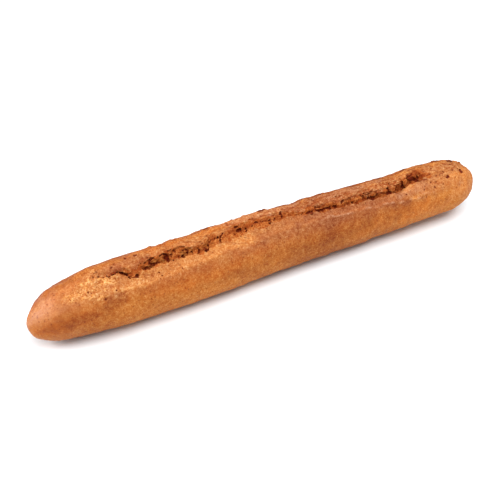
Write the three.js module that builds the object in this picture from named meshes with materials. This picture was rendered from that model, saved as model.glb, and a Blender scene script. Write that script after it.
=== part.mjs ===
// A whole crusty baguette, in millimetres, +Z up. It lies along X on a narrow flat foot, and its
// origin is under its middle. While it baked, the crust tore open lengthwise along the crown. On the
// far side (+Y) of the tear the crumb has pulled up into a rough lobe. On the near side (-Y) a thin
// lip overhangs it, and a flattened band runs from there down to a soft shoulder.
import * as THREE from "three";
import { ParametricGeometry } from "three/addons/geometries/ParametricGeometry.js";
import { ImprovedNoise } from "three/addons/math/ImprovedNoise.js";
import { mergeVertices } from "three/addons/utils/BufferGeometryUtils.js";

// Driving dimensions of the loaf.
const loafLength = 500;
const loafWidth = 67;
const loafHeight = 64;
const footWidth = 26; // the flat that the loaf has settled on, where it is thickest
const squareness = 2.15; // 2 is an ellipse, and more is fuller at the shoulders

// The two ends close in rounded caps. The near one droops, and the far one is lifted a little.
const capLength = { near: 36, far: 36 };
const capBluntness = 2; // 2 is an ellipse, and more is blunter
const lift = { near: -8, far: 4 };
const liftLength = { near: 70, far: 170 };

// The loaf is slightly bowed: [distance from the near tip, offset towards +Y].
const bow = [
  [0, 0],
  [140, 0],
  [240, 2],
  [340, 2.6],
  [420, 2],
  [470, 0],
  [500, 0],
];

// Girth along the loaf: [distance from the near tip, share of the full section].
const girth = [
  [0, 0.71],
  [30, 0.785],
  [60, 0.9],
  [100, 0.95],
  [165, 0.99],
  [250, 0.965],
  [380, 0.92],
  [440, 0.88],
  [500, 0.8],
];

// The tear's course over the crown: [distance from the near tip, offset towards +Y].
const tearCourse = [
  [64, -2],
  [80, -5],
  [90, -9],
  [96, -15],
  [106, -12],
  [125, -10],
  [168, -12],
  [182, -7],
  [205, -3.5],
  [250, -3.5],
  [290, -8.5],
  [330, -14],
  [380, -16],
  [412, -12],
  [436, -6],
];
const tear = {
  start: 62,
  end: 436,
  fade: 16,
  depth: 5.5,
  nearWall: 2.4, // width of the steep wall under the lip
  farWall: 6.5, // width of the torn slope up to the lobe
  wander: 2.4, // how far the tear strays from its course
  wanderPitch: 10,
};

// Hollows where the crumb has pulled further apart.
const hollows = [
  { at: 92, reach: 9, deeper: 3, wider: 1.5 },
  { at: 117, reach: 11, deeper: 6, wider: 4.5 },
  { at: 133, reach: 8, deeper: 4, wider: 2.5 },
  { at: 150, reach: 9, deeper: 5, wider: 3 },
  { at: 178, reach: 7, deeper: 3, wider: 1 },
  { at: 212, reach: 10, deeper: 3, wider: 2 },
  { at: 305, reach: 14, deeper: 2.5, wider: 1 },
  { at: 398, reach: 15, deeper: 6, wider: 4 },
  { at: 424, reach: 10, deeper: 3, wider: 4 },
];

// Swellings of the crust on either side of the tear, at distances from it round the section.
const tearSwellings = [
  { at: -3, halfWidth: 5, height: 1.2 }, // the lip
  { at: 15, halfWidth: 13, height: 2.6 }, // the lobe
];

// The soft shoulder on the near side: [distance from the near tip, distance round from the crown].
const shoulderCourse = [
  [20, -22],
  [60, -28],
  [95, -32],
  [150, -29],
  [215, -25],
  [350, -25],
  [425, -29],
  [480, -28],
];
const shoulderFade = { from: 34, over: 52 }; // it dies out before the rounded caps
const shoulderSwellings = [
  { at: 0, halfWidth: 9, height: 1 }, // the shoulder itself
  { at: 11, halfWidth: 9, height: -1.4 }, // the flattened band above it
];

// Unevenness of the crust. Crags are strongest beside the tear and die out away from it.
const lumps = [
  { height: 1.3, pitch: 60 },
  { height: 0.6, pitch: 21 },
];
const soleTurn = 0.62; // share of a half turn from the tear, beyond which the lumps flatten out
const crags = [
  { height: 1.6, pitch: 9 },
  { height: 1.1, pitch: 5 },
];
const cragReach = { near: 17, far: 42 };
const tipCalm = 0.8; // below this share of the girth all relief is fainter

// Mesh: rings along the loaf and points round each ring, which crowd towards the tear.
const ringCount = 150;
const pointCount = 36;
const capRings = 0.1; // share of the rings whose spacing grows from the tip
const crowding = 0.62; // 0 spaces the points evenly, and 1 brings them together at the tear

const noise = new ImprovedNoise();
const halfWidth = loafWidth / 2;
const halfHeight = loafHeight / 2;
const axisHeight =
  halfHeight * (1 - (footWidth / loafWidth) ** squareness) ** (1 / squareness);

function clamp01(value) {
  return Math.min(Math.max(value, 0), 1);
}

function ease(value) {
  const share = clamp01(value);
  return share * share * (3 - 2 * share);
}

// A bump that is 1 at its middle and falls to 0 at its half width.
function bump(distance, half) {
  return ease(1 - Math.abs(distance) / half);
}

// The slope at a point of a list of [place, value], from its two neighbours.
function slopeAt(list, index) {
  const [from, low] = list[Math.max(index - 1, 0)];
  const [to, high] = list[Math.min(index + 1, list.length - 1)];
  return (high - low) / (to - from);
}

// The value at a place along a list of [place, value], on a smooth curve through its points.
function along(list, place) {
  const found = list.findIndex(([at]) => at > place);
  if (found <= 0) {
    return found === 0 ? list[0][1] : list.at(-1)[1];
  }
  const [from, low] = list[found - 1];
  const [to, high] = list[found];
  const span = to - from;
  const share = (place - from) / span;
  const bend =
    slopeAt(list, found - 1) * span * share * (1 - share) ** 2 -
    slopeAt(list, found) * span * share ** 2 * (1 - share);
  return low + (high - low) * ease(share) + bend;
}

// Where a ring stands: close to its neighbours at the tips, evenly spaced between them.
function ringPlace(share) {
  const fromTip = Math.min(share, 1 - share);
  const steps = fromTip < capRings ? fromTip ** 2 / (2 * capRings) : fromTip - capRings / 2;
  const place = (steps / (1 - capRings)) * loafLength;
  return share < 0.5 ? place : loafLength - place;
}

// How far a rounded cap has opened: 0 at the tip, 1 where the cap ends.
function capOpening(fromTip, length) {
  const left = 1 - clamp01(fromTip / length);
  return (1 - left ** capBluntness) ** (1 / capBluntness);
}

// Size and height of the plain section at a distance from the near tip.
function sectionAt(place) {
  const fromFar = loafLength - place;
  return {
    size:
      along(girth, place) *
      capOpening(place, capLength.near) *
      capOpening(fromFar, capLength.far),
    centre:
      axisHeight +
      lift.near * (1 - clamp01(place / liftLength.near)) ** 2 +
      lift.far * (1 - clamp01(fromFar / liftLength.far)) ** 2,
  };
}

// The tear at a distance from the near tip: where it runs, how open, how deep and how wide.
function tearAt(place) {
  const open = ease((place - tear.start) / tear.fade) * ease((tear.end - place) / tear.fade);
  const shape = {
    open,
    offset:
      along(tearCourse, place) +
      tear.wander * open * noise.noise(place / tear.wanderPitch, 3.7, 8.1),
    depth: tear.depth * (1 + 0.4 * noise.noise(place / 17, 5.9, 4.4)),
    wider: 0,
  };
  for (const hollow of hollows) {
    const inside = bump(place - hollow.at, hollow.reach);
    shape.depth += hollow.deeper * inside;
    shape.wider += hollow.wider * inside;
  }
  return shape;
}

// Depth of the cut at a distance from the tear: steep under the lip, a slope up to the lobe.
function cutDepth(distance, opening) {
  const wall = distance < 0 ? tear.nearWall : tear.farWall;
  return opening.depth * ease(1 - Math.abs(distance) / (wall + opening.wider));
}

// Unevenness at a point: several sizes of lump, each with its own pitch.
function uneven(layers, point) {
  return layers.reduce((sum, { height, pitch }) => {
    return sum + height * noise.noise(point.x / pitch, point.y / pitch, point.z / pitch);
  }, 0);
}

// How far a set of swellings raises the crust at a distance from the line that they follow.
function swelling(set, distance) {
  return set.reduce((sum, each) => {
    return sum + each.height * bump(distance - each.at, each.halfWidth);
  }, 0);
}

// Height of the crust above the plain section, at a turn round it from the tear.
function relief(point, turn, opening) {
  const distance = turn * halfWidth;
  const fromShoulder = distance + opening.offset - along(shoulderCourse, point.x);
  const fromTip = Math.min(point.x, loafLength - point.x);
  const shouldered = ease((fromTip - shoulderFade.from) / shoulderFade.over);
  const reach = distance < 0 ? cragReach.near : cragReach.far;
  const craggy = bump(distance, reach);
  const sole = ease((Math.abs(turn) / Math.PI - soleTurn) / (1 - soleTurn));
  return (
    (swelling(tearSwellings, distance) - cutDepth(distance, opening)) * opening.open +
    swelling(shoulderSwellings, fromShoulder) * shouldered +
    uneven(lumps, point) * (1 - sole) +
    uneven(crags, point) * craggy
  );
}

// The crust as a surface: around goes round the section, and along runs from tip to tip.
function crust(around, alongLoaf, target) {
  const place = ringPlace(alongLoaf);
  const { size, centre } = sectionAt(place);
  const opening = tearAt(place);
  const away = 1 - 2 * around;
  const turn = Math.PI * away - crowding * Math.sin(Math.PI * away);
  const angle = Math.asin(opening.offset / halfWidth) + turn;
  const reach =
    Math.abs(Math.sin(angle) / halfWidth) ** squareness +
    Math.abs(Math.cos(angle) / halfHeight) ** squareness;
  const plain = size / reach ** (1 / squareness);
  target.set(place, plain * Math.sin(angle), plain * Math.cos(angle));
  const calm = clamp01(size / tipCalm);
  const radius = plain + calm * relief(target, turn, opening);
  const aside = along(bow, place) + radius * Math.sin(angle);
  target.set(place, aside, Math.max(centre + radius * Math.cos(angle), 0));
}

// One closed body, its seam and tips merged, with its origin under its middle.
function loafGeometry() {
  const surface = new ParametricGeometry(crust, pointCount, ringCount);
  surface.deleteAttribute("normal");
  surface.deleteAttribute("uv");
  const closed = mergeVertices(surface, 1e-3);
  closed.computeBoundingBox();
  const middle = closed.boundingBox.getCenter(new THREE.Vector3());
  closed.translate(-middle.x, -middle.y, -closed.boundingBox.min.z);
  closed.computeVertexNormals();
  return closed;
}

const crustFinish = new THREE.MeshStandardMaterial({
  color: 0xc4733a,
  roughness: 0.6,
  metalness: 0,
});

const loaf = new THREE.Mesh(loafGeometry(), crustFinish);
loaf.name = "loaf";

const baguette = new THREE.Group();
baguette.add(loaf);

export default baguette;
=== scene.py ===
import math

import bpy
import numpy as np
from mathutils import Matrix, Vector, noise


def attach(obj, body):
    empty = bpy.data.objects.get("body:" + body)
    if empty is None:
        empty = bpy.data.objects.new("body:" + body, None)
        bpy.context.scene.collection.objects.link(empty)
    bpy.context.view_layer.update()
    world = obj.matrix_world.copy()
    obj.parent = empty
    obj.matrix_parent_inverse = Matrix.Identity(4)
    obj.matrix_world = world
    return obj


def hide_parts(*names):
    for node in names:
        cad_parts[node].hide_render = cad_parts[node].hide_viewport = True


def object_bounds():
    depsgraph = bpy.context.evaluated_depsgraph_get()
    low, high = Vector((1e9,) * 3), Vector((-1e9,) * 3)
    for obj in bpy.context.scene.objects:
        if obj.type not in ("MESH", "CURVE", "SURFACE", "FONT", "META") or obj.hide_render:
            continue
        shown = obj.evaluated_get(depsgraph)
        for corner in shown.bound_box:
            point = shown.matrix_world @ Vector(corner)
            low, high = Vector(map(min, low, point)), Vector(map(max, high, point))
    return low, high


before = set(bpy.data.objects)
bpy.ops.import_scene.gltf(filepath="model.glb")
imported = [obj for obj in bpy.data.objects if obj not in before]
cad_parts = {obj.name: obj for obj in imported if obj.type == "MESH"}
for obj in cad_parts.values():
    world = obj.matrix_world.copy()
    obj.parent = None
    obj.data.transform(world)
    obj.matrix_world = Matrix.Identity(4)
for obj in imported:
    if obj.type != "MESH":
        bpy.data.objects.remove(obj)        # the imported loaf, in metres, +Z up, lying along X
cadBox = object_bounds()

mm = 0.001
leastWeight = 0.004      # a point with a smaller share of a relief is left where it is


# small tools

def pickOnly(piece):
    # nothing selected but this piece, which is also the active one
    bpy.ops.object.select_all(action="DESELECT")
    piece.select_set(True)
    bpy.context.view_layer.objects.active = piece


def finishWith(piece, kind, name, **settings):
    # add a modifier, set it up and apply it
    pickOnly(piece)
    modifier = piece.modifiers.new(name, kind)
    for key, value in settings.items():
        setattr(modifier, key, value)
    bpy.ops.object.modifier_apply(modifier=modifier.name)


def readRows(items, key):
    # three numbers of every item, one row each
    values = np.empty(len(items) * 3, np.float32)
    items.foreach_get(key, values)
    return values.reshape(-1, 3).astype(float)


def readPoints(piece):
    return readRows(piece.data.vertices, "co")


def readNormals(piece):
    return readRows(piece.data.vertex_normals, "vector")


def readCentres(piece):
    # the middle of every face
    return readRows(piece.data.polygons, "center")


def refine(piece, chosen):
    # cut these faces in four
    pickOnly(piece)
    bpy.ops.object.mode_set(mode="EDIT")
    bpy.ops.mesh.select_mode(type="FACE")
    bpy.ops.mesh.select_all(action="DESELECT")
    bpy.ops.object.mode_set(mode="OBJECT")
    piece.data.polygons.foreach_set("select", chosen)
    bpy.ops.object.mode_set(mode="EDIT")
    bpy.ops.mesh.subdivide(number_cuts=1, smoothness=1, ngon=False)
    bpy.ops.object.mode_set(mode="OBJECT")


def ramp(values, low, high):
    # 0 below low, 1 above high, eased between
    share = np.clip((values - low) / (high - low), 0, 1)
    return share * share * (3 - 2 * share)


def hill(distance, half):
    # 1 at the middle, 0 at the half width
    return ramp(1 - np.abs(distance) / half, 0, 1)


def seedStart(seed):
    # where a pattern starts in the noise, another place for each seed
    return Vector((seed * 7.3, seed * 3.1, seed * 5.7))


def drift(points, pitch, seed):
    # smooth noise at every point, about -0.5 to 0.5
    start = seedStart(seed)
    return np.array([noise.noise(Vector(point) / pitch + start) for point in points])


def bubbles(points, pitch, largest, seed):
    # how deep bubbles of random size, cut open by the surface, reach into it, in pitches
    start = seedStart(seed)
    depth = np.empty(len(points))
    for index, point in enumerate(points):
        gaps, centres = noise.voronoi(Vector(point) / pitch + start)
        reach = largest * noise.cell(centres[0])
        depth[index] = math.sqrt(max(reach ** 2 - gaps[0] ** 2, 0))
    return depth


def crackle(points, pitch, seed):
    # 0 on the lines of a random net, up to 1 inside its cells
    start = seedStart(seed)
    gaps = [noise.voronoi(Vector(point) / pitch + start)[0] for point in points]
    return np.array([gap[1] - gap[0] for gap in gaps])


def weigh(piece, name, weights):
    # a vertex group with these weights, for a modifier
    group = piece.vertex_groups.new(name=name)
    for index in np.flatnonzero(weights > leastWeight):
        group.add([int(index)], float(min(weights[index], 1)), "REPLACE")
    return group.name


def shift(piece, name, height):
    # move every point out by its own height, or in where that is below 0
    for sign, share in ((1, np.maximum(height, 0)), (-1, np.maximum(-height, 0))):
        most = share.max()
        if most > 0:
            group = weigh(piece, name, share / most)
            finishWith(piece, "DISPLACE", name, vertex_group=group, direction="NORMAL",
                       strength=sign * most, mid_level=0)


def mark(piece, name, values):
    # a number on every point, for the material
    attribute = piece.data.attributes.new(name, "FLOAT", "POINT")
    attribute.data.foreach_set("value", np.clip(values, 0, 1).astype(np.float32))


def hollowness(piece, rounds):
    # how far each point lies under a relaxed copy of the skin: above 0 in hollows, below 0 on ridges
    relaxed = bpy.data.objects.new("relaxed", piece.data.copy())
    bpy.context.collection.objects.link(relaxed)
    finishWith(relaxed, "SMOOTH", "relax", factor=0.5, iterations=rounds)
    away = readPoints(relaxed) - readPoints(piece)
    depth = (away * readNormals(piece)).sum(axis=1)
    bpy.data.objects.remove(relaxed)
    return depth


# the crust: the loaf's own form, with the fine relief that baking gives it

crustShape = {
    "weld": 0.01 * mm,
    "fineBand": 34 * mm,           # round from the crown, within which the faces are cut in four
    "fineTip": 40 * mm,            # and all round this close to the near tip
    "finestBand": 6 * mm,          # round from the torn crumb's middle, where they are cut in four again
    "tornMiddle": 1.5 * mm,        # how far that middle lies from the tear's foot
    "pitRoom": 1.2 * mm,           # they are also cut again this close to a listed cut
    "radius": 33 * mm,             # turns an angle round the loaf into a distance
    "axisHeight": 30 * mm,
    "droop": (8 * mm, 70 * mm),    # how far the axis dips at the near tip, and over what length
    "rise": (4 * mm, 60 * mm),     # and how far it lifts at the far one
    "tear": (60 * mm, 440 * mm),   # where the tear is looked for, from the near tip
    "tearStep": 4 * mm,
    "tearReach": math.radians(50),  # and how far round from the crown
    "tearDip": 0.7 * mm,           # a shallower dip isn't the tear
    "tearRounds": 14,              # of relaxing, which bridges it
}
nearTip, farTip = cadBox[0][0], cadBox[1][0]

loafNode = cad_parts["loaf"]
crust = bpy.data.objects.new("crust", loafNode.data.copy())
bpy.context.collection.objects.link(crust)
pickOnly(crust)
bpy.ops.object.mode_set(mode="EDIT")
bpy.ops.mesh.select_all(action="SELECT")
bpy.ops.mesh.remove_doubles(threshold=crustShape["weld"])
bpy.ops.mesh.tris_convert_to_quads(face_threshold=math.pi, shape_threshold=math.pi)
bpy.ops.object.mode_set(mode="OBJECT")
print("crust: welded to", len(crust.data.vertices), "points,", len(crust.data.polygons), "faces")


def lengthAndTurn(points):
    # distance from the near tip, and the turn round from the crown
    along = points[:, 0] - nearTip
    droop, over = crustShape["droop"]
    axis = crustShape["axisHeight"] - droop * np.clip(1 - along / over, 0, 1) ** 2
    rise, over = crustShape["rise"]
    axis += rise * np.clip(1 - (farTip - nearTip - along) / over, 0, 1) ** 2
    return along, np.arctan2(points[:, 1], points[:, 2] - axis)


def findTear():
    # where the tear runs, as the deepest line along the crown: places, and the turn at each
    dip = hollowness(crust, crustShape["tearRounds"]) - crustShape["tearDip"]
    along, turn = lengthAndTurn(readPoints(crust))
    step = crustShape["tearStep"]
    centres, course = [], []
    for centre in np.arange(*crustShape["tear"], step):
        near = (abs(along - centre) < step) & (abs(turn) < crustShape["tearReach"]) & (dip > 0)
        if near.any():
            pull = dip[near] ** 2
            centres.append(centre)
            course.append((turn[near] * pull).sum() / pull.sum())
    return np.array(centres), np.array(course)


tearPlaces, tearTurns = findTear()
print("tear: found at", len(tearPlaces), "places")


def tearDistance(points):
    # round from the tear, above 0 on its far side
    along, turn = lengthAndTurn(points)
    return (turn - np.interp(along, tearPlaces, tearTurns)) * crustShape["radius"]


# cuts and pits: half width and depth in mm, then their course, as distances from the near tip and
# round from the crown (+ is the far side)
# the material paints them dark by their depth, as painted shade
cuts = [
    # the crack at the near end, and the slit beside it
    (1.1, 2.1, [(70.7, -4.8)]),
    (1.45, 2.4, [(74.5, -8.4), (76.2, -9.1), (78.2, -9.7)]),
    (1.3, 2.2, [(78.2, -9.7), (80.8, -10.7), (83.3, -11.4), (84.7, -9.8)]),
    (1.3, 2.2, [(84.7, -9.8), (86.5, -6.3), (87.5, -6)]),
    (1.0, 1.6, [(89.4, -6.9), (90.3, -8.2)]),
    (1.7, 2.2, [(90.9, -8.8), (92.2, -10.5), (94.2, -12.9)]),
    (1.5, 2.4, [(95.4, -19.5), (97.4, -18.8), (98.6, -19), (100.3, -20), (102.5, -20.3)]),
    # the first cavity
    (1.0, 1.3, [(112.2, -10.5), (113.9, -10.9), (114.8, -11.5)]),
    (1.7, 1.0, [(115.8, -10.8), (117.2, -11), (118.5, -11.1)]),
    (0.9, 1.3, [(114.8, -7.1)]),
    (0.9, 1.0, [(109.8, -6.1)]),
    (0.9, 0.9, [(107.9, -8.6)]),
    (1.1, 1.4, [(118.1, -8.3), (119, -6.7), (120.8, -6.2), (122.7, -6.9)]),
    (1.1, 2.0, [(129.6, -6.5), (131, -5.8), (133.3, -5.7), (135.2, -6.9)]),
    (2.3, 1.8, [(135.2, -8.5), (135.7, -9.7)]),
    (1.3, 1.2, [(119.9, -9.6), (122.2, -10.9), (127.3, -11.2)]),
    (0.9, 1.3, [(138.9, -8.5), (141.2, -8.3), (139.8, -9.4)]),
    (0.9, 1.1, [(144.9, -6.4), (145.8, -7)]),
    (0.9, 1.3, [(137.9, -11.2), (138.9, -16.9)]),
    # the second cavity and the slits after it
    (1.2, 1.2, [(147.7, -9.4)]),
    (1.4, 2.2, [(150.9, -10.2), (149.6, -15.7)]),
    (1.3, 1.8, [(152.3, -6.9)]),
    (1.4, 1.4, [(154.2, -7.3), (156.5, -8.4), (155.1, -9.8)]),
    (1.0, 1.5, [(159.7, -11.1)]),
    (1.3, 1.7, [(166.7, -10.8), (167.1, -12.2), (164.1, -16.3)]),
    (1.9, 2.2, [(171.1, -16.6), (173.4, -15.8), (174.8, -13.4)]),
    (1.1, 2.0, [(178.2, -7.9)]),
    (0.9, 1.1, [(178.2, -7.2), (180.1, -5), (182.4, -4)]),
    # along the middle
    (1.1, 1.3, [(187, -2.7)]),
    (1.3, 1.9, [(190.3, -2.5), (189.4, -9), (188.9, -11.9)]),
    (1.0, 1.4, [(192.6, -3.2), (193.1, -2.4), (196.3, -0.8)]),
    (1.0, 1.7, [(210.7, 2.1), (213, 2.1)]),
    (1.8, 2.2, [(212, 0.1), (213.4, 0.2), (215.3, 0.5)]),
    (1.1, 1.8, [(213, -0.1), (211.1, -1.5)]),
    (1.0, 1.1, [(205.1, -9.2)]),
    (1.0, 1.7, [(210.2, -12.5)]),
    (1.1, 0.9, [(213, -14.9), (214.8, -15.3)]),
    (1.1, 1.7, [(221.3, 0), (217.6, -8.8)]),
    (1.2, 1.7, [(225.5, -3.6)]),
    (1.1, 1.7, [(231.9, 1.4), (233.3, 1.4), (234.7, 0.6)]),
    (0.9, 1.1, [(228.2, -6.9)]),
    (0.9, 1.2, [(238, 0.5), (240.3, 0.4)]),
    (0.9, 1.0, [(233.8, -6.8)]),
    (1.2, 1.7, [(247.7, 1.2), (244, -7.4)]),
    (0.9, 1.3, [(253.7, 0.5), (249.1, -5.5)]),
    (0.8, 1.2, [(256.9, 0)]),
    (1.2, 1.8, [(262, 4.4), (261.6, 0.1), (261.1, -1)]),
    (1.1, 1.1, [(266.2, 0.1)]),
    (0.9, 1.3, [(276.8, -2.9), (276.8, -8.4)]),
    (1.0, 1.4, [(279.1, -8.3), (283.8, -4)]),
    (0.9, 1.1, [(282.9, 0.5)]),
    (1.1, 1.9, [(288, -5.3), (290.7, -4.8), (291.2, -4.6)]),
    (1.3, 2.1, [(289.4, -10.4), (294.4, -4.6)]),
    (1.0, 1.4, [(298.1, -3.1), (298.1, -5.2)]),
    (1.7, 2.2, [(300, -6.4), (302.3, -7.2), (304.2, -7.4), (306, -7.6)]),
    (1.1, 1.3, [(299.1, -4), (302.8, -5.3)]),
    (1.3, 1.7, [(306, -7.3), (309.3, -7.4), (312, -7.7)]),
    (1.1, 2.1, [(313.9, -7.5), (313.4, -8.6)]),
    (1.0, 1.3, [(314.4, -8.7)]),
    (1.2, 2.2, [(317.6, -8.5), (319.5, -9.4)]),
    # along the far part
    (2.1, 2.0, [(327.8, -8.1)]),
    (1.3, 0.9, [(326.4, -13.9), (331.9, -10.5), (334.7, -10.6), (337, -11.1)]),
    (1.5, 2.0, [(339.8, -10.6), (339.4, -11.9)]),
    (1.6, 0.8, [(344, -12.2), (345.4, -11.7), (347.7, -10.7)]),
    (1.6, 0.8, [(353.2, -9.6), (355.5, -11.1), (357.4, -11.7)]),
    (1.9, 1.9, [(359.7, -10.7), (362.5, -11.8), (366.2, -13)]),
    (1.4, 0.9, [(367.6, -12.9), (369.9, -11), (372.7, -10.5), (375, -11.7), (377.8, -12.2)]),
    (1.4, 1.4, [(382, -12.9), (385.2, -13.2), (387.6, -13.2)]),
    (1.2, 1.3, [(382.9, -9.1), (384.7, -11.8), (385.7, -13.2)]),
    (1.3, 0.7, [(388.1, -11.2), (390.8, -9.9)]),
    (1.4, 1.2, [(396.3, -8.2), (396.3, -10.2)]),
    (1.1, 1.1, [(392.1, 1.3)]),
    (1.2, 0.6, [(388.9, -5.6), (390.7, -4)]),
    (1.1, 1.4, [(403.2, -4.8), (404.2, -7)]),
    (1.4, 1.8, [(404.2, -7.3), (404.5, -9.8), (404.2, -13.1)]),
    (1.1, 1.0, [(401.4, -6.1)]),
    # the deep end
    (2.2, 2.9, [(412, -4.3), (413.4, -5.4), (416.7, -6.3)]),
    (1.8, 2.9, [(419.5, -4.8), (416.2, -6.4), (423.1, -5.4)]),
    (1.4, 1.5, [(415.7, -1.2), (418.5, -1)]),
    (1.2, 2.4, [(425.9, -1.9), (425.5, -4)]),
    (1.3, 1.1, [(424.1, 2), (427.3, 4.4)]),
    (1.1, 1.0, [(428.2, 8.3)]),
    (1.0, 0.9, [(434.3, 1.9), (434.7, 0.1)]),
    (1.2, 1.1, [(434.3, -7.7), (438, -6.9)]),
    (1.3, 1.0, [(426.9, -12.4), (430.6, -12.9)]),
    # in the lobe
    (1.5, 1.4, [(83.3, -1.4), (84.3, -1)]),
    (0.9, 1.0, [(87, 1.8)]),
    (1.8, 1.6, [(99, 6)]),
    (1.5, 1.8, [(107, 2.3), (109, 2)]),
    (1.3, 1.7, [(138.4, -4.3), (140.7, -3.7)]),
    (1.1, 1.5, [(172.2, -6.9)]),
    (1.3, 0.9, [(215.3, 3.4)]),
    (0.9, 1.0, [(163.4, -6.4)]),
    (1.2, 1.2, [(300.5, 9), (301.9, 8)]),
    (0.9, 1.0, [(286.1, 7.1)]),
    (1.1, 1.1, [(254.2, 15.3)]),
    (1.1, 1.1, [(70.4, -0.1), (67.6, -0.2)]),
    # on the far top
    (2.2, 2.0, [(453.7, -18.7), (455.1, -18.3)]),
    (2.7, 2.4, [(474, -17.2), (475.3, -16.1)]),
    (1.6, 1.7, [(469.4, 4.4), (476.2, 4.9)]),
    (1.3, 1.3, [(467.6, -3)]),
    (1.3, 1.1, [(458.3, 2.1)]),
    (1.3, 1.2, [(484, -3.4)]),
    (1.3, 1.1, [(489.4, -8.4)]),
    (1.3, 1.3, [(438, -20.1)]),
    (1.3, 1.2, [(446.8, -13.6)]),
    (1.2, 1.1, [(444.9, -25.7)]),
    (1.3, 1.2, [(453.2, -10.7)]),
    (1.5, 1.1, [(443.5, -0.6)]),
    (1.3, 1.1, [(433.8, -25.6)]),
    (1.2, 1.1, [(423.1, -20.9)]),
    (1.3, 1.1, [(432.4, -18.6)]),
    (1.2, 1.4, [(398.6, -23.5)]),
    (1.2, 1.0, [(421.3, -33.6)]),
    (1.3, 1.0, [(464.8, -11.9)]),
    (1.2, 1.0, [(463.4, -22.3)]),
    # in the near side and band
    (1.0, 1.5, [(79.6, -27.1)]),
    (0.9, 1.3, [(121.8, -22.9)]),
    (1.1, 1.1, [(123.6, -26.2)]),
    # small pits down the near side and on the near end
    (1.0, 1.0, [(202, -30.7)]),
    (0.9, 0.9, [(203, -34.9)]),
    (1.2, 1.0, [(108, -44.3)]),
    (1.2, 1.0, [(53, -54)]),
    (1.0, 1.0, [(135, -37)]),
    (1.0, 1.0, [(60, 8)]),
    (1.3, 1.3, [(68, -31.8)]),
    (1.1, 1.3, [(56, -20)]),
    (0.9, 0.8, [(20, -11.4)]),
    (0.9, 0.8, [(14, -31.2)]),
    (0.9, 0.8, [(36, -8)]),
    (0.9, 0.8, [(44, -14)]),
]

# dark crumbs that stick out of the lobe and the far end: half width, height and course, as above
crumbs = [
    (2.0, 0.8, [(128, 18)]),
    (2.0, 0.9, [(181, 13), (185, 13.5)]),
    (1.8, 1.0, [(190, 13), (193, 13)]),
    (1.8, 0.6, [(212, 13)]),
    (2.0, 1.0, [(243, 14), (249, 14.5)]),
    (2.0, 0.8, [(280, 16)]),
    (2.0, 0.8, [(315, 15)]),
    (2.0, 0.9, [(350, 19), (354, 19)]),
    (2.0, 0.9, [(384, 19), (388, 19)]),
    (2.6, 1.4, [(416, 15), (420, 15)]),
    (2.0, 0.9, [(440, 13)]),
    (2.6, 1.4, [(455, 12), (459, 12)]),
    (2.6, 1.3, [(470, 6), (474, 6)]),
    (2.2, 0.9, [(484, 2)]),
]
cutEdge = {
    "past": 1.15,              # a cut ends this many half widths from its course
    "soft": 0.8,               # and gets to its full depth over this many
    "ragged": 0.5,             # how much its edge strays
    "raggedPitch": 2.2 * mm,
    "searched": 12 * mm,       # how far round a course points are looked at
}


def gapTo(points, start, end):
    # how far off the straight line from start to end each point lies
    reach = end - start
    share = np.clip((points - start) @ reach / max(reach @ reach, 1e-12), 0, 1)
    return np.linalg.norm(points - start - share[:, None] * reach, axis=1)


def closeSteps(course):
    # the same course in steps of about 1 mm, so that it follows the crust between its stops
    steps = [course[0]]
    for start, end in zip(course, course[1:]):
        count = max(round(math.dist(start, end)), 1)
        steps += [np.array(start) + (np.array(end) - start) * step / count
                  for step in range(1, count + 1)]
    return steps


def listed(points, places):
    # height or depth at every point of the places in a list, and how far off the nearest one is
    along, turn = lengthAndTurn(points)
    aside = turn * crustShape["radius"]
    straying = cutEdge["ragged"] * drift(points, cutEdge["raggedPitch"], seed=3)
    depth = np.zeros(len(points))
    nearest = np.ones(len(points))
    for halfWidth, deep, course in places:
        middle = np.mean(course, axis=0) * mm
        span = np.ptp(course, axis=0).max() * mm + cutEdge["searched"]
        close = np.flatnonzero(np.hypot(along - middle[0], aside - middle[1]) < span)
        spot = points[close]
        stops = [spot[np.hypot(along[close] - place * mm, aside[close] - around * mm).argmin()]
                 for place, around in closeSteps(course)]
        for start, end in zip(stops, stops[1:] if len(stops) > 1 else stops):
            gap = gapTo(spot, start, end)
            nearest[close] = np.minimum(nearest[close], gap - halfWidth * mm)
            inside = cutEdge["past"] - gap / (halfWidth * mm) + straying[close]
            depth[close] = np.maximum(depth[close], deep * mm * ramp(inside, 0, cutEdge["soft"]))
    return depth, nearest


def refineCrust():
    # finer faces over the crown and at the near tip, and the finest at the tear and the cuts
    along, turn = lengthAndTurn(readCentres(crust))
    overCrown = abs(turn) * crustShape["radius"] < crustShape["fineBand"]
    refine(crust, overCrown | (along < crustShape["fineTip"]))
    faces = readCentres(crust)
    along = lengthAndTurn(faces)[0]
    tearStart, tearEnd = crustShape["tear"]
    nearTear = abs(tearDistance(faces) - crustShape["tornMiddle"]) < crustShape["finestBand"]
    nearTear &= (along > tearStart) & (along < tearEnd)
    refine(crust, nearTear | (listed(faces, cuts)[1] < crustShape["pitRoom"]))


finishWith(crust, "SUBSURF", "smooth", levels=1, render_levels=1)
refineCrust()
print("crust: refined to", len(crust.data.polygons), "faces")

# where every point lies: along the loaf, round from the crown and round from the tear
spots = readPoints(crust)
along, turn = lengthAndTurn(spots)
aside = turn * crustShape["radius"]
fromTear = tearDistance(spots)
crown = ramp(np.cos(turn), 0.3, 0.8)
skin = ramp(spots[:, 2], 1 * mm, 6 * mm)      # the flat that it lies on stays plain

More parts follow.
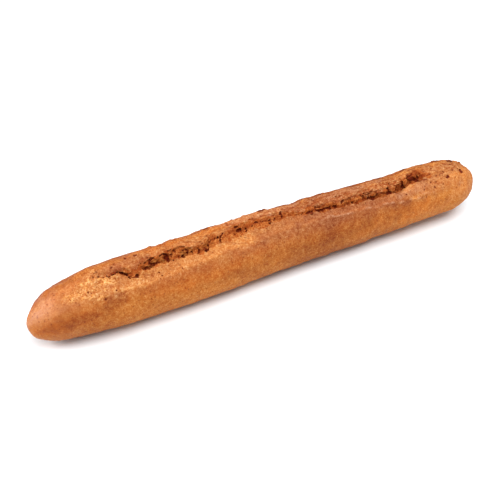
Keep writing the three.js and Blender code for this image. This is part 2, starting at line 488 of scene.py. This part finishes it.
stretches = {
    # between which places a thing fades in, and out again, in mm from the near tip
    "torn": ((64, 70), (436, 441)),
    "frayed": ((88, 98), None),
    "fullSeam": ((290, 320), None),
    "lip": ((66, 80), (425, 436)),
    "bareOfFlour": ((66, 76), None),
    "shoulder": ((60, 100), (415, 450)),
    "paleShoulder": ((260, 300), None),
    "shoulderLine": ((270, 310), None),
    "lobe": ((80, 140), (405, 430)),
    "creased": ((74, 88), None),
    "streaks": ((290, 350), (425, 440)),
    "paintedBounce": ((50, 100), None),
    "brownStreaks": ((320, 380), None),
    "rust": ((62, 76), (425, 436)),
    "dome": (None, (26, 62)),
}
profiles = {
    # distance from the near tip in mm, and the value there
    "holey": [      # how full of bubbles the torn crumb is
        (60, 1), (140, 1), (200, 0.8), (280, 0.6), (310, 0.12), (400, 0.12), (410, 0.7),
        (420, 0.3), (440, 0.2),
    ],
    # the tear's dark here is a painted shadow under the overhanging lip
    "seam": [       # how deep and dark the tear is at the foot of the lip
        (70, 0.7), (95, 0.6), (120, 0.3), (200, 0.25), (270, 0.25), (300, 0.7), (330, 0.7),
        (380, 0.7), (400, 0.6), (412, 0.7), (430, 0.3),
    ],
    "wrinkling": [  # how crumpled the crust beside the tear is
        (60, 0.3), (150, 0.35), (210, 0.5), (300, 0.7), (340, 1), (400, 1), (430, 0.6), (500, 0.5),
    ],
    "shoulder": [   # where the shoulder's edge runs, round from the crown, in mm
        (0, -30), (60, -30), (90, -28), (117, -31), (161, -26.5), (205, -24), (250, -20.5),
        (300, -23), (322, -24), (346, -26), (370, -28), (395, -30), (425, -31), (470, -27),
        (500, -27),
    ],
    "browning": [   # how brown the crust is
        (0, 0.5), (50, 0.6), (90, 0.5), (130, 0.42), (170, 0.45), (200, 0.6), (240, 0.66),
        (300, 1), (350, 0.85), (385, 0.62), (415, 0.26), (450, 0.06), (500, 0.02),
    ],
}

# the torn crumb: distance from the near tip, its near edge and its far edge round from the tear, in mm
tornBand = [
    (66, 0, 0), (74, -4.4, 0.6), (84, -4.2, 1), (90, -4.5, 2.2), (94, -4.5, 5.5), (105, -5, 4.5),
    (111, -6, 3.5), (120, -5.5, 7.5), (130, -4, 7), (138, -3, 8.5), (152, -3, 8), (162, -4.5, 3.5),
    (177, -7, 5), (190, -9, 5), (213, -8.5, 6), (228, -8.5, 5.5), (240, -8, 4), (250, -7.5, 5),
    (262, -3, 7), (270, -3, 4.3), (286, -4, 5), (300, -3, 6), (312, 0, 4.5), (326, -2, 4.5),
    (340, -4, 5), (347, 0, 6.5), (361, -3, 3), (369, -1, 4.5), (385, -1, 5), (401, -1, 6),
    (408, -2, 8), (418, 0, 11), (429, -4, 13), (434, -7, 6), (440, -4, -3),
]

patches = {
    # distance from the near tip, round from the crown, half length, half width, in mm, strength
    "dusted": [
        (62, -14, 32, 19, 0.9),
        (100, -24, 30, 9, 0.55),
        (150, -22, 55, 9, 0.3),
        (205, -14, 40, 9, 0.5),
        (455, 0, 32, 20, 0.45),
        (292, -17, 14, 8, 0.12),
    ],
    "toasted": [
        (74, -36, 14, 8, 0.35),
        (128, -35, 20, 8, 0.2),
        (160, -31, 16, 7, 0.15),
        (232, -20, 22, 9, 0.12),
        (105, -2, 22, 7, 0.4),
        (310, 4, 50, 8, 0.2),
        (455, 0, 34, 20, 0.75),
        (34, -45, 20, 10, 0.4),
        (290, -16, 28, 10, 0.35),
        (30, 6, 24, 14, 0.25),
        (135, 14, 40, 6, 0.25),
        (345, -21, 50, 8, 0.3),
        (120, 12, 45, 8, 0.12),
        (424, -25, 48, 11, 0.45),
        (175, -9, 25, 5, 0.15),
        (388, 5, 18, 6, 0.3),
    ],
    "blond": [
        (165, -20, 32, 8, 0.2),
        (205, -19, 32, 7, 0.36),
        (215, 8, 45, 8, 0.14),
        # the last one is painted bounce light from the floor on the low side
        (360, -53, 60, 9, 0.25),
    ],
    # a painted sheen: pale pink patches, one of them on the near end's shine
    "rosySheen": [
        (235, 12, 50, 8, 0.2),
        (345, 9, 50, 8, 0.15),
        (14, -18, 14, 14, 0.05),
        (404, -20, 22, 8, 0.12),
        (475, -45, 26, 14, 0.08),
    ],
    "amber": [
        (150, -38, 70, 10, 0.6),
        (40, -4, 30, 12, 0.4),
        (15, 20, 16, 20, 0.5),
        (215, -32, 30, 8, 0.5),
        (390, -46, 70, 12, 0.35),
        (335, -23, 65, 10, 0.6),
        (34, -45, 24, 12, 0.8),
        (125, 12, 50, 9, 0.5),
        (200, 10, 40, 9, 0.25),
        (300, 9, 60, 9, 0.3),
    ],
    "olive": [
        (127, -10, 12, 6, 0.8),
        (156, -8, 6, 4, 0.8),
        (176, -10, 5, 5, 0.5),
    ],
    # where the tear is painted darker, as painted shade
    "deep": [
        (122, -5, 8, 3, 0.4),
        (134, -7, 5, 4, 0.6),
        (238, -1, 48, 4, 0.4),
        (304, -4, 12, 4, 0.5),
        (413, -4, 7, 6, 0.75),
        (426, -1, 8, 7, 0.6),
        (355, -2, 50, 6, 0.55),
    ],
}
patchDrift = drift(spots, 14 * mm, seed=1) + 0.5 * drift(spots, 5 * mm, seed=2)


def stretch(name):
    # 1 along this stretch of the loaf and 0 past its ends
    fadeIn, fadeOut = stretches[name]
    share = ramp(along / mm, *fadeIn) if fadeIn else 1
    return share * (1 - ramp(along / mm, *fadeOut)) if fadeOut else share


def follow(stops, column=1):
    # the value at every point, from rows that start with the distance from the near tip in mm
    table = np.array(stops).T
    return np.interp(along / mm, table[0], table[column])


def patchwork(name):
    # how far these patches cover every point, with soft straying edges
    cover = np.zeros(len(spots))
    for place, around, halfLength, halfWidth, strength in patches[name]:
        gap = np.hypot((along / mm - place) / halfLength, (aside / mm - around) / halfWidth)
        cover = np.maximum(cover, strength * ramp(1.1 - gap + 0.7 * patchDrift, 0, 0.45))
    return cover


def tornCrumb():
    # 1 in the torn crumb, with frayed edges
    fray = drift(spots, 6 * mm, seed=4) * 2.4 * mm + drift(spots, 2.5 * mm, seed=5) * 1.6 * mm
    fray *= 0.3 + 0.7 * stretch("frayed")
    aboveNearEdge = fromTear - follow(tornBand, 1) * mm + fray
    belowFarEdge = follow(tornBand, 2) * mm + fray - fromTear
    inside = ramp(belowFarEdge, -0.5 * mm, 0.7 * mm) * ramp(aboveNearEdge, -0.5 * mm, 0.7 * mm)
    return inside * stretch("torn")


def besideTear():
    # the crumpled crust on both sides of the tear, fading sooner on the near one
    share = np.exp(-(np.minimum(fromTear, 0) / (6 * mm)) ** 2)
    share *= np.exp(-(np.maximum(fromTear - 4 * mm, 0) / (20 * mm)) ** 2)
    return share * follow(profiles["wrinkling"])


torn = tornCrumb()
holeyCrumb = torn * follow(profiles["holey"])
# the groove at the foot of the lip, also painted dark as the lip's shadow
seam = hill(fromTear + 0.5 * mm, 3.4 * mm) * follow(profiles["seam"]) * torn
seam *= np.maximum(ramp(drift(spots, 7 * mm, seed=17), -0.25, 0.1), 0.7 * stretch("fullSeam"))
lip = hill(fromTear + 4 * mm, 3.5 * mm) * stretch("lip")      # the near edge, which overhangs it
tearSide = ramp(fromTear, -6 * mm, -2 * mm) * (along < 430 * mm)      # no flour on it and past it
dusted = patchwork("dusted") * (1 - tearSide * stretch("bareOfFlour"))
crumpled = np.maximum(besideTear() * crown * (1 - 0.6 * torn), 0.8 * dusted)
belowEdge = follow(profiles["shoulder"]) * mm - aside + 3 * mm * drift(spots, 12 * mm, seed=8)
shouldered = stretch("shoulder")
lobe = ramp(fromTear, 2 * mm, 7 * mm) * (1 - ramp(aside, 24 * mm, 34 * mm)) * stretch("lobe")

# soft relief from cloud textures
textures = {
    # size, detail, noise type
    "lumps": (16 * mm, 1, "SOFT_NOISE"),
    "folds": (8 * mm, 2, "HARD_NOISE"),
    "wrinkles": (2.6 * mm, 2, "HARD_NOISE"),
    "ragged": (4 * mm, 2, "SOFT_NOISE"),
    "shreds": (3.4 * mm, 2, "HARD_NOISE"),
    "grain": (2 * mm, 1, "SOFT_NOISE"),
}
masks = {"skin": skin, "holey": holeyCrumb, "lip": lip, "crumpled": crumpled}
softRelief = [
    # texture, mask, direction, strength, level that stays in place
    (None, "skin", "NORMAL", -0.4 * mm, 0),      # room for the relief inside the loaf's box
    ("lumps", "skin", "NORMAL", 3 * mm, 0.5),
    ("folds", "crumpled", "NORMAL", -3.8 * mm, 0.22),
    ("wrinkles", "crumpled", "NORMAL", -1.2 * mm, 0.22),
    ("ragged", "lip", "Y", 7 * mm, 0.45),
    ("shreds", "holey", "NORMAL", 3 * mm, 0.3),
    ("grain", "skin", "NORMAL", 0.7 * mm, 0.5),
]


def makeTexture(name):
    texture = bpy.data.textures.new(name, "CLOUDS")
    texture.noise_basis = "IMPROVED_PERLIN"
    texture.noise_scale, texture.noise_depth, texture.noise_type = textures[name]
    return texture


for name, weights in masks.items():
    weigh(crust, name, weights)
for name, mask, direction, height, level in softRelief:
    texture = makeTexture(name) if name else None
    finishWith(crust, "DISPLACE", mask + "Relief", texture=texture, texture_coords="LOCAL",
               vertex_group=mask, direction=direction, strength=height, mid_level=level)

# sharper relief, worked out at every point
sharpRelief = {
    "longFolds": 2.8 * mm,       # they run along the lobe
    "longFoldsSink": 2 * mm,     # and start this much lower, to stay inside the loaf's box
    "creases": 1.1 * mm,
    "shoulderEdge": 0.5 * mm,
    "largeBubbles": 2 * mm,
    "smallBubbles": 1 * mm,
    "seam": 1.2 * mm,
    "streaks": 1.2 * mm,         # down the torn slope of the far part
    "skinPits": 6 * mm,
    "deepest": 2.4 * mm,         # of the bubbles, the seam and the pits in the skin together
    "farHollow": 1.6 * mm,
    "ridges": 0.5 * mm,          # of dried flour and skin
    "cuts": 0.7,                 # share of the listed depths
}
# where the tear runs out at the far end
farHollow = {"place": 432 * mm, "aside": -4 * mm, "half": 8 * mm, "longer": 1.3}


def creaseLines():
    # lines along the loaf in the crumpled crust and on the lobe, broken here and there
    lines = 1 - ramp(abs(drift(stretched, 6.5 * mm, seed=9)), 0, 0.2)
    lines *= np.maximum(crumpled, 0.8 * lobe) * ramp(drift(spots, 9 * mm, seed=10), -0.15, 0.1)
    return lines * stretch("creased")


def flourRidges():
    # the lines of a net in the floury patches, broken here and there
    net = np.ones(len(spots))
    inPatch = np.flatnonzero(dusted > 0.02)
    net[inPatch] = crackle(warped[inPatch], 4.6 * mm, seed=16)
    broken = ramp(drift(spots, 4 * mm, seed=19), -0.1, 0.15)
    return (1 - ramp(net, 0.05, 0.26)) * broken * dusted ** 1.5


stretched = spots * (0.25, 1, 1)      # for patterns that run along the loaf
warped = spots + np.stack([drift(spots, 2.4 * mm, seed) for seed in (11, 12, 13)], axis=1) * 1.6 * mm
longFolds = abs(drift(stretched, 6 * mm, seed=22)) + 0.4 * abs(drift(stretched, 3 * mm, seed=23))
longFolds = (sharpRelief["longFolds"] * longFolds - sharpRelief["longFoldsSink"]) * lobe
creases = creaseLines()
edgeRelief = (hill(belowEdge, 3 * mm) - hill(belowEdge + 5 * mm, 4 * mm)) * shouldered
crumbPits = bubbles(warped, 6.2 * mm, 0.55, seed=6) * sharpRelief["largeBubbles"]
crumbPits += bubbles(warped, 2.4 * mm, 0.5, seed=7) * sharpRelief["smallBubbles"]
crumbPits = crumbPits * holeyCrumb + sharpRelief["seam"] * seam
streaks = ramp(drift(spots * (1, 0.2, 0.2), 3.4 * mm, seed=18), -0.1, 0.3)
streaks *= hill(fromTear - 3 * mm, 7 * mm) * stretch("streaks")
skinPits = crown * (1 - torn) * bubbles(warped, 6 * mm, 0.2, seed=14) * sharpRelief["skinPits"]
hollow = np.hypot((along - farHollow["place"]) / farHollow["longer"], aside - farHollow["aside"])
hollow = hill(hollow, farHollow["half"])
ridgeLines = flourRidges()
cutDepth = listed(spots, cuts)[0]
crumbHeight = listed(spots, crumbs)[0]

shift(crust, "longFolds", longFolds)
shift(crust, "creases", -sharpRelief["creases"] * creases)
shift(crust, "shoulder", sharpRelief["shoulderEdge"] * edgeRelief)
shift(crust, "streaks", -sharpRelief["streaks"] * streaks)
shift(crust, "bubbles", -np.minimum(crumbPits + skinPits, sharpRelief["deepest"]))
shift(crust, "farHollow", -sharpRelief["farHollow"] * hollow)
shift(crust, "ridges", sharpRelief["ridges"] * ridgeLines)
shift(crust, "cuts", -sharpRelief["cuts"] * cutDepth)
shift(crust, "crumbs", crumbHeight)
for group in list(crust.vertex_groups):
    crust.vertex_groups.remove(group)
print("crust: relief done")

# what the material is told about every point
browner = {
    # what is added to the browning, or taken off where it is below 0
    "underEdge": 0.18,
    # painted bounce light from the floor: the low side made paler
    "paintedBounce": -0.35,
    "farFlankShade": 0.35,
    # painted shade: darker past the crest, on the far flank
    "edge": -0.2,
    "streaks": 0.35,
    "full": 1.2,          # this much counts as wholly toasted
}
# the soft shine on the near end
glossSpot = {"place": 13 * mm, "aside": -15 * mm, "wider": 1.2, "inner": 4 * mm, "outer": 26 * mm}


def browningAndPaintedLight():
    # how brown the crust is, made paler on its low side as painted bounce light from the floor and
    # darker past the crest as painted shade
    brown = follow(profiles["browning"]) + patchwork("toasted") - patchwork("blond")
    underEdge = ramp(belowEdge, 0, 2 * mm) * (1 - ramp(belowEdge, 5 * mm, 14 * mm))
    brown += browner["underEdge"] * shouldered * underEdge
    brown += browner["paintedBounce"] * ramp(-aside, 47 * mm, 60 * mm) * stretch("paintedBounce")
    brown += browner["farFlankShade"] * ramp(aside, 11 * mm, 19 * mm)
    brown += browner["edge"] * shouldered * stretch("paleShoulder") * hill(belowEdge + 2 * mm, 3 * mm)
    streaky = drift(spots * (1, 0.25, 0.25), 7 * mm, seed=21) * ramp(-aside, 24 * mm, 32 * mm)
    brown += browner["streaks"] * streaky * stretch("brownStreaks")
    return brown / browner["full"]


def howRusty():
    # beside the tear, in blotches, and in the hollow where it runs out
    rusty = np.exp(-((fromTear - 4 * mm) / (5 * mm)) ** 2)
    rusty *= ramp(drift(spots, 9 * mm, seed=15), -0.15, 0.2) * stretch("rust")
    return np.maximum(rusty, hollow)


def howGlossy():
    gap = np.hypot(along - glossSpot["place"], (aside - glossSpot["aside"]) / glossSpot["wider"])
    return 1 - ramp(gap, glossSpot["inner"], glossSpot["outer"])


marks = {
    "tornShare": torn,
    "dustedShare": dusted,
    "crumpledShare": crumpled,
    # painted shade, darker the deeper the cuts and pits
    "pitShadeShare": np.maximum(cutDepth / (1.8 * mm), skinPits / (1.2 * mm)),
    "ridgeShare": ridgeLines,
    # painted shade in the creases
    "creaseShadeShare": creases * (1 - 0.35 * lobe),
    # painted shadow at the foot of the lip
    "seamShadowShare": seam,
    # painted shade in the bubbles and streaks
    "bubbleShadeShare": crumbPits / (2.4 * mm) + 0.6 * streaks,
    "crumbShare": crumbHeight / (0.8 * mm),
    "fineHollow": 0.5 + hollowness(crust, rounds=5) / (0.6 * mm),
    "broadHollow": 0.5 + hollowness(crust, rounds=60) / (5 * mm),
    # browning, with painted bounce light and painted shade in it
    "browningAndLightShare": browningAndPaintedLight(),
    "rustShare": howRusty(),
    # painted shade in deep parts of the tear
    "oliveShare": patchwork("olive"),
    "deepShadeShare": patchwork("deep"),
    "amberShare": patchwork("amber"),
    "domeShare": stretch("dome") * (1 - dusted),
    "glossShare": howGlossy(),
    "edgeShare": hill(belowEdge + 0.6 * mm, 1.8 * mm) * shouldered * stretch("shoulderLine"),
    # painted sheen: pale pink on the upward-facing crown and in patches
    "paintedSheenShare": 0.1 * crown * (1 - 0.8 * ramp(aside, 0, 6 * mm)) + patchwork("rosySheen"),
}
for name, values in marks.items():
    mark(crust, name, values)
pickOnly(crust)
bpy.ops.object.shade_smooth()
print("crust: marked for its finish")


# finish of the crust

crustLook = {
    # linear red, green, blue and alpha
    "golden": (0.51, 0.166, 0.028, 1),
    "toasted": (0.24, 0.052, 0.008, 1),
    "pale": (0.63, 0.29, 0.085, 1),
    "amber": (0.53, 0.135, 0.017, 1),
    # also used for the painted shade in the fine hollows
    "rust": (0.32, 0.065, 0.011, 1),
    # painted shade in the creases
    "creaseShade": (0.22, 0.042, 0.007, 1),
    "torn": (0.35, 0.083, 0.013, 1),
    # painted light on the torn crumb's ridges
    "tornRidgeLight": (0.47, 0.15, 0.032, 1),
    # painted shade in the torn crumb's deep parts
    "tornShade": (0.20, 0.026, 0.002, 1),
    "olive": (0.29, 0.095, 0.016, 1),
    # painted shade in the cuts and pits
    "pitShade": (0.13, 0.013, 0.001, 1),
    "speck": (0.20, 0.04, 0.008, 1),
    # a pale pink painted sheen, also the colour of the shoulder's pale line
    "paleSheen": (0.60, 0.32, 0.18, 1),
    "crumb": (0.13, 0.022, 0.004, 1),
    # how strongly some of them cover what lies below
    "rustCover": 0.6,
    "creaseShadeCover": 0.85,
    "speckCover": 0.6,
    "paleSpeckCover": 0.3,
    "edgeCover": 0.38,
    "oliveCover": 0.7,
    # shine and fine grain
    "roughness": (0.6, 0.7),
    "specular": 0.12,
    "coat": 0.45,
    "coatRoughness": 0.5,
    "bumpStrength": 0.7,
    "bumpHeight": 0.3 * mm,
}


class Shader:
    # a material's node tree, with one short call for each kind of node
    def __init__(self, name):
        self.material = bpy.data.materials.new(name)
        self.material.use_nodes = True
        self.tree = self.material.node_tree
        self.surface = self.tree.nodes["Principled BSDF"]
        self.place = self.add("TexCoord").outputs["Object"]

    def add(self, kind, inputs=None, **settings):
        node = self.tree.nodes.new("ShaderNode" + kind)
        for key, value in settings.items():
            setattr(node, key, value)
        for key, value in (inputs or {}).items():
            self.put(node.inputs[key], value)
        return node

    def put(self, socket, value):
        if isinstance(value, bpy.types.NodeSocket):
            self.tree.links.new(value, socket)
        else:
            socket.default_value = value

    def marked(self, name):
        return self.add("Attribute", attribute_name=name).outputs["Fac"]

    def cloud(self, pitch, detail=2, roughness=0.5):
        return self.add("TexNoise", {"Vector": self.place, "Scale": 1 / pitch, "Detail": detail,
                                     "Roughness": roughness}).outputs["Fac"]

    def dots(self, pitch, reach):
        # round dots of random size, scattered a pitch apart
        cell = self.add("TexVoronoi", {"Vector": self.place, "Scale": 1 / pitch})
        luck = self.add("SeparateColor", {"Color": cell.outputs["Color"]}).outputs["Red"]
        size = self.times(luck, reach / pitch)
        return self.between(self.reckon("DIVIDE", cell.outputs["Distance"], size), 1, 0.5)

    def between(self, value, low, high, start=0, end=1):
        return self.add("MapRange", {"Value": value, "From Min": low, "From Max": high,
                                     "To Min": start, "To Max": end},
                        interpolation_type="SMOOTHSTEP").outputs["Result"]

    def reckon(self, kind, first, second):
        node = self.add("Math", operation=kind)
        self.put(node.inputs[0], first)
        self.put(node.inputs[1], second)
        return node.outputs[0]

    def plus(self, first, second):
        return self.reckon("ADD", first, second)

    def minus(self, first, second):
        return self.reckon("SUBTRACT", first, second)

    def times(self, first, second):
        return self.reckon("MULTIPLY", first, second)

    def most(self, first, second):
        return self.reckon("MAXIMUM", first, second)

    def mix(self, share, first, second):
        node = self.add("Mix", data_type="RGBA")
        self.put(node.inputs[0], share)
        self.put(node.inputs[6], first)
        self.put(node.inputs[7], second)
        return node.outputs[2]


def bakedColourWithPaintedLight(nodes):
    # how brown the oven made the crust, in large soft patches and smaller ones; the browning share also
    # carries painted bounce light on the low side and painted shade on the far flank
    patchy = nodes.between(nodes.cloud(30 * mm, detail=3), 0.3, 0.7, -0.14, 0.14)
    blotchy = nodes.between(nodes.cloud(8 * mm, detail=3), 0.3, 0.7, -0.07, 0.07)
    toastWithPaintedLight = nodes.plus(nodes.marked("browningAndLightShare"), nodes.plus(patchy, blotchy))
    toastWithPaintedLight.node.use_clamp = True
    colour = nodes.mix(nodes.marked("amberShare"), crustLook["golden"], crustLook["amber"])
    colour = nodes.mix(toastWithPaintedLight, colour, crustLook["toasted"])
    rust = nodes.times(nodes.marked("rustShare"), crustLook["rustCover"])
    return nodes.mix(rust, colour, crustLook["rust"])


def drySkinAndSheen(nodes, colour):
    # flour and dried skin catch on the crumpled ridges, in short squiggles; the ridges that the skin's
    # curvature finds are also painted paler as painted highlight, and a painted sheen lies on the crown
    # and in patches
    fine, crumpled = nodes.marked("fineHollow"), nodes.marked("crumpledShare")
    squiggle = nodes.marked("ridgeShare")
    ridges = nodes.most(nodes.between(fine, 0.45, 0.15, 0, 0.4), nodes.times(squiggle, 0.8))
    blotch = nodes.between(nodes.cloud(4.5 * mm, detail=3, roughness=0.6), 0.5, 0.66, 0, 0.5)
    flour = nodes.times(nodes.marked("dustedShare"), nodes.plus(nodes.most(ridges, blotch), 0.15))
    flour = nodes.plus(flour, nodes.times(squiggle, 0.25))
    flour = nodes.plus(flour, nodes.times(crumpled, nodes.between(fine, 0.46, 0.2, 0.04, 0.2)))
    flour.node.use_clamp = True
    # painted sheen: pale pink on the crown and in patches
    colour = nodes.mix(nodes.marked("paintedSheenShare"), colour, crustLook["paleSheen"])
    return nodes.mix(flour, colour, crustLook["pale"])


def creaseShadeAndSpecks(nodes, colour):
    # painted shade in the fine hollows (rust-coloured) and in the creases, specks, and the pale line of
    # the shoulder in the painted sheen's colour
    hollowShade = nodes.between(nodes.marked("fineHollow"), 0.52, 0.85, 0, 0.9)
    hollowShade = nodes.times(nodes.marked("crumpledShare"), hollowShade)
    creased = nodes.times(nodes.marked("creaseShadeShare"), crustLook["creaseShadeCover"])
    specks = nodes.times(nodes.dots(3 * mm, 1.2 * mm), crustLook["speckCover"])
    paleSpecks = nodes.times(nodes.dots(3.3 * mm, 0.8 * mm), crustLook["paleSpeckCover"])
    broken = nodes.between(nodes.cloud(5 * mm), 0.42, 0.6, 0, crustLook["edgeCover"])
    edge = nodes.times(nodes.marked("edgeShare"), broken)
    layers = ((hollowShade, "rust"), (creased, "creaseShade"), (specks, "speck"), (paleSpecks, "pale"),
              (edge, "paleSheen"))
    for share, name in layers:
        colour = nodes.mix(share, colour, crustLook[name])
    return colour


def tornColour(nodes):
    # torn crumb, with painted shade that darkens it the deeper it lies and painted light that makes its
    # ridges paler
    pale = nodes.between(nodes.marked("fineHollow"), 0.45, 0.25)
    olive = nodes.times(nodes.marked("oliveShare"), crustLook["oliveCover"])
    shadeShare = nodes.between(nodes.marked("broadHollow"), 0.75, 1.1, 0, 0.5)
    shadeShare = nodes.most(shadeShare, nodes.marked("deepShadeShare"))
    shadeShare = nodes.most(shadeShare, nodes.between(nodes.marked("bubbleShadeShare"), 0.25, 0.9, 0, 0.7))
    shadeShare = nodes.most(shadeShare, nodes.marked("seamShadowShare"))
    colour = nodes.mix(pale, crustLook["torn"], crustLook["tornRidgeLight"])
    colour = nodes.mix(olive, colour, crustLook["olive"])
    return nodes.mix(shadeShare, colour, crustLook["tornShade"])


def grainTone(nodes):
    # fine light and dark grain, stronger in crumpled crust and calmer on the near end
    mottle = nodes.between(nodes.cloud(3.6 * mm, detail=3, roughness=0.6), 0.3, 0.7, -0.12, 0.12)
    grain = nodes.between(nodes.cloud(1.4 * mm, detail=3, roughness=0.7), 0.3, 0.7, -0.2, 0.2)
    rougher = nodes.plus(nodes.times(nodes.marked("crumpledShare"), 0.5), 1)
    rougher = nodes.minus(rougher, nodes.times(nodes.marked("domeShare"), 0.5))
    return nodes.plus(nodes.times(nodes.plus(mottle, grain), rougher), 1)


def roughnessOf(nodes):
    # rough where it is crumpled, roughest in the torn crumb and smoother on the near end
    rough = nodes.between(nodes.cloud(5 * mm), 0.3, 0.7, *crustLook["roughness"])
    rough = nodes.plus(rough, nodes.times(nodes.marked("crumpledShare"), 0.15))
    rough = nodes.minus(rough, nodes.times(nodes.marked("domeShare"), 0.17))
    return nodes.most(rough, nodes.times(nodes.marked("tornShare"), 0.85))


def crustFinish():
    nodes = Shader("crustFinish")
    colour = creaseShadeAndSpecks(nodes, drySkinAndSheen(nodes, bakedColourWithPaintedLight(nodes)))
    # painted shade in the cuts and pits
    pits = nodes.between(nodes.marked("pitShadeShare"), 0.15, 0.8)
    crumbShare = nodes.between(nodes.marked("crumbShare"), 0.2, 0.8, 0, 0.9)
    colour = nodes.mix(nodes.marked("tornShare"), colour, tornColour(nodes))
    colour = nodes.mix(pits, colour, crustLook["pitShade"])
    colour = nodes.mix(crumbShare, colour, crustLook["crumb"])
    toned = nodes.add("Gamma", {"Color": colour, "Gamma": grainTone(nodes)}).outputs["Color"]

    # fine grain, and the squiggles standing up from it
    squiggle = nodes.times(nodes.marked("ridgeShare"), 0.6)
    height = nodes.plus(nodes.cloud(1.1 * mm, detail=3, roughness=0.6), squiggle)
    bump = nodes.add("Bump", {"Strength": crustLook["bumpStrength"], "Height": height,
                              "Distance": crustLook["bumpHeight"]})

    surface = nodes.surface.inputs
    nodes.put(surface["Base Color"], toned)
    nodes.put(surface["Normal"], bump.outputs["Normal"])
    nodes.put(surface["Roughness"], roughnessOf(nodes))
    nodes.put(surface["Coat Weight"], nodes.times(nodes.marked("glossShare"), crustLook["coat"]))
    surface["Coat Roughness"].default_value = crustLook["coatRoughness"]
    surface["Specular IOR Level"].default_value = crustLook["specular"]
    return nodes.material


crust.data.materials.clear()
crust.data.materials.append(crustFinish())
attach(crust, "root")
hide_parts("loaf")
print("crust: finished")


# floor, light and camera

floorLook = {
    "size": 6,
    "colour": (0.83, 0.87, 0.90, 1),
    "roughness": 0.8,
}
bpy.ops.object.select_all(action="DESELECT")
bpy.ops.mesh.primitive_plane_add(size=floorLook["size"], location=(0, 0, 0))
floor = bpy.context.object
floor.name = "floor"
paper = bpy.data.materials.new("whiteFloor")
paper.use_nodes = True
paperSurface = paper.node_tree.nodes["Principled BSDF"].inputs
paperSurface["Base Color"].default_value = floorLook["colour"]
paperSurface["Roughness"].default_value = floorLook["roughness"]
floor.data.materials.append(paper)

studio = {
    "surround": 0.45,          # even white light from all round
    "lamps": {
        # place, point aimed at, width, depth, watts
        "above": ((0.1, -0.5, 1.5), (0, 0, 0.03), 3.2, 1.1, 45),
        "left": ((-1.3, 0.62, 0.66), (-0.2, 0, 0.03), 0.9, 0.8, 18),
    },
}
world = bpy.data.worlds.new("surround")
bpy.context.scene.world = world
world.use_nodes = True
surround = world.node_tree.nodes["Background"]
surround.inputs["Color"].default_value = (1, 1, 1, 1)
surround.inputs["Strength"].default_value = studio["surround"]

for name, (place, target, width, depth, watts) in studio["lamps"].items():
    bpy.ops.object.light_add(type="AREA", location=place)
    lamp = bpy.context.object
    lamp.name = name
    lamp.data.shape = "RECTANGLE"
    lamp.data.size = width
    lamp.data.size_y = depth
    lamp.data.energy = watts
    aim = Vector(target) - Vector(place)
    lamp.rotation_euler = aim.to_track_quat("-Z", "Y").to_euler()

cameraView = {
    "target": Vector((-25.3 * mm, -1.9 * mm, 30 * mm)),
    "distance": 789.4 * mm,
    "swing": math.radians(27.565),      # turned from straight across the loaf
    "elevation": math.radians(38),
    "lens": 57.39,
}
swing, elevation = cameraView["swing"], cameraView["elevation"]
sight = Vector((math.sin(swing) * math.cos(elevation),
                math.cos(swing) * math.cos(elevation),
                -math.sin(elevation)))
bpy.ops.object.camera_add(location=cameraView["target"] - sight * cameraView["distance"])
camera = bpy.context.object
camera.rotation_euler = sight.to_track_quat("-Z", "Y").to_euler()
camera.data.lens = cameraView["lens"]
bpy.context.scene.camera = camera
bpy.context.scene.view_settings.view_transform = "Standard"
print("stage: lit and framed")

print("scene: done")
